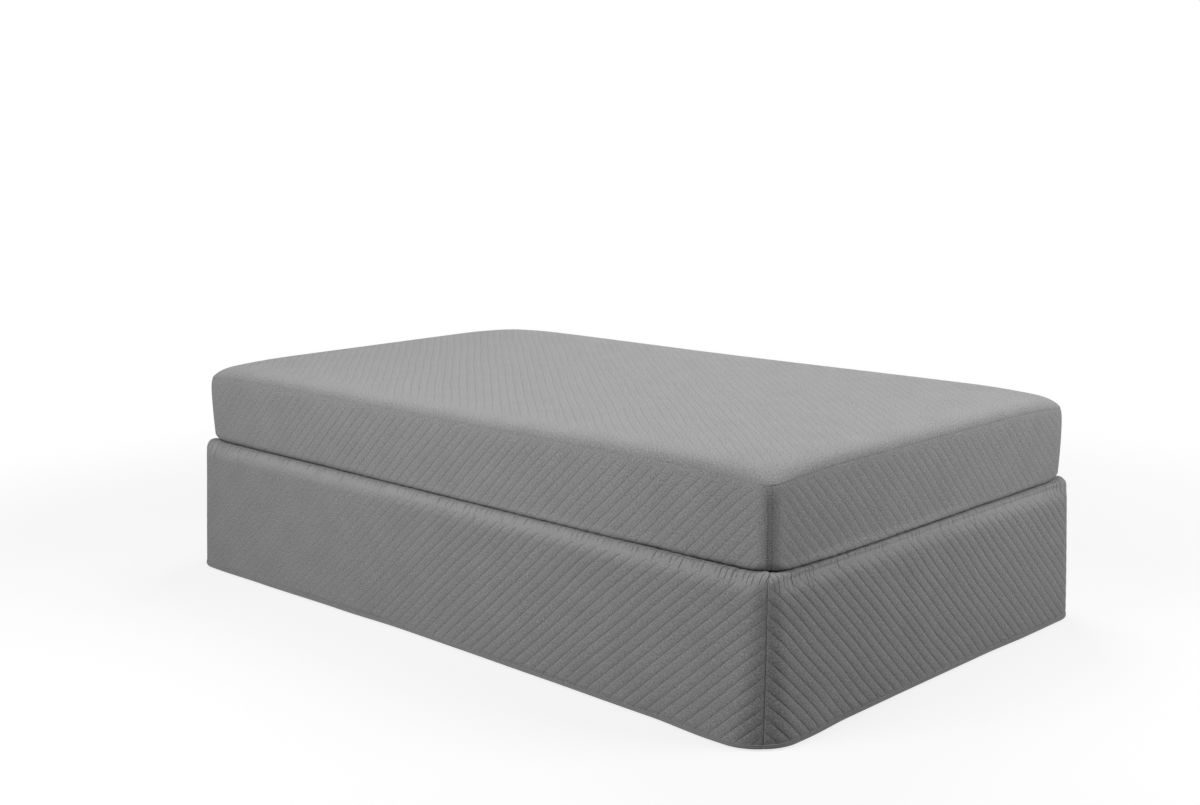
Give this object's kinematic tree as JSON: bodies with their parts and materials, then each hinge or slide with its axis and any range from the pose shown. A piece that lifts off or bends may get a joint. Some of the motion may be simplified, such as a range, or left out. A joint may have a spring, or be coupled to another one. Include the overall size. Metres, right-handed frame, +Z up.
{
  "type": "quilted mattress protector and matching skirt on a plain mattress and box base",
  "caption": "Fitted quilted protector over a single mattress, with a quilted skirt hanging from the box base to just above the floor.",
  "frame": {"origin": "on the floor, under the middle of the box base", "axes": "+Z up, +Y towards the head of the bed, +X to the right side seen from the foot"},
  "size_m": [1.1962, 1.9458, 0.531],
  "materials": {
    "quilted_cloth": "matte quilted",
    "binding_cloth": "matte woven",
    "plain_ticking": "matte woven"
  },
  "bodies": {
    "root": {"box_base": "plain_ticking", "mattress": "plain_ticking", "protector_top_panel": "quilted_cloth", "protector_band_foot": "quilted_cloth", "protector_band_right": "quilted_cloth", "protector_band_head": "quilted_cloth", "protector_band_left": "quilted_cloth", "skirt_panel_foot": "quilted_cloth", "skirt_panel_right": "quilted_cloth", "skirt_panel_head": "quilted_cloth", "skirt_panel_left": "quilted_cloth", "skirt_binding_foot": "binding_cloth", "skirt_binding_right": "binding_cloth", "skirt_binding_head": "binding_cloth", "skirt_binding_left": "binding_cloth"}
  },
  "joints": []
}
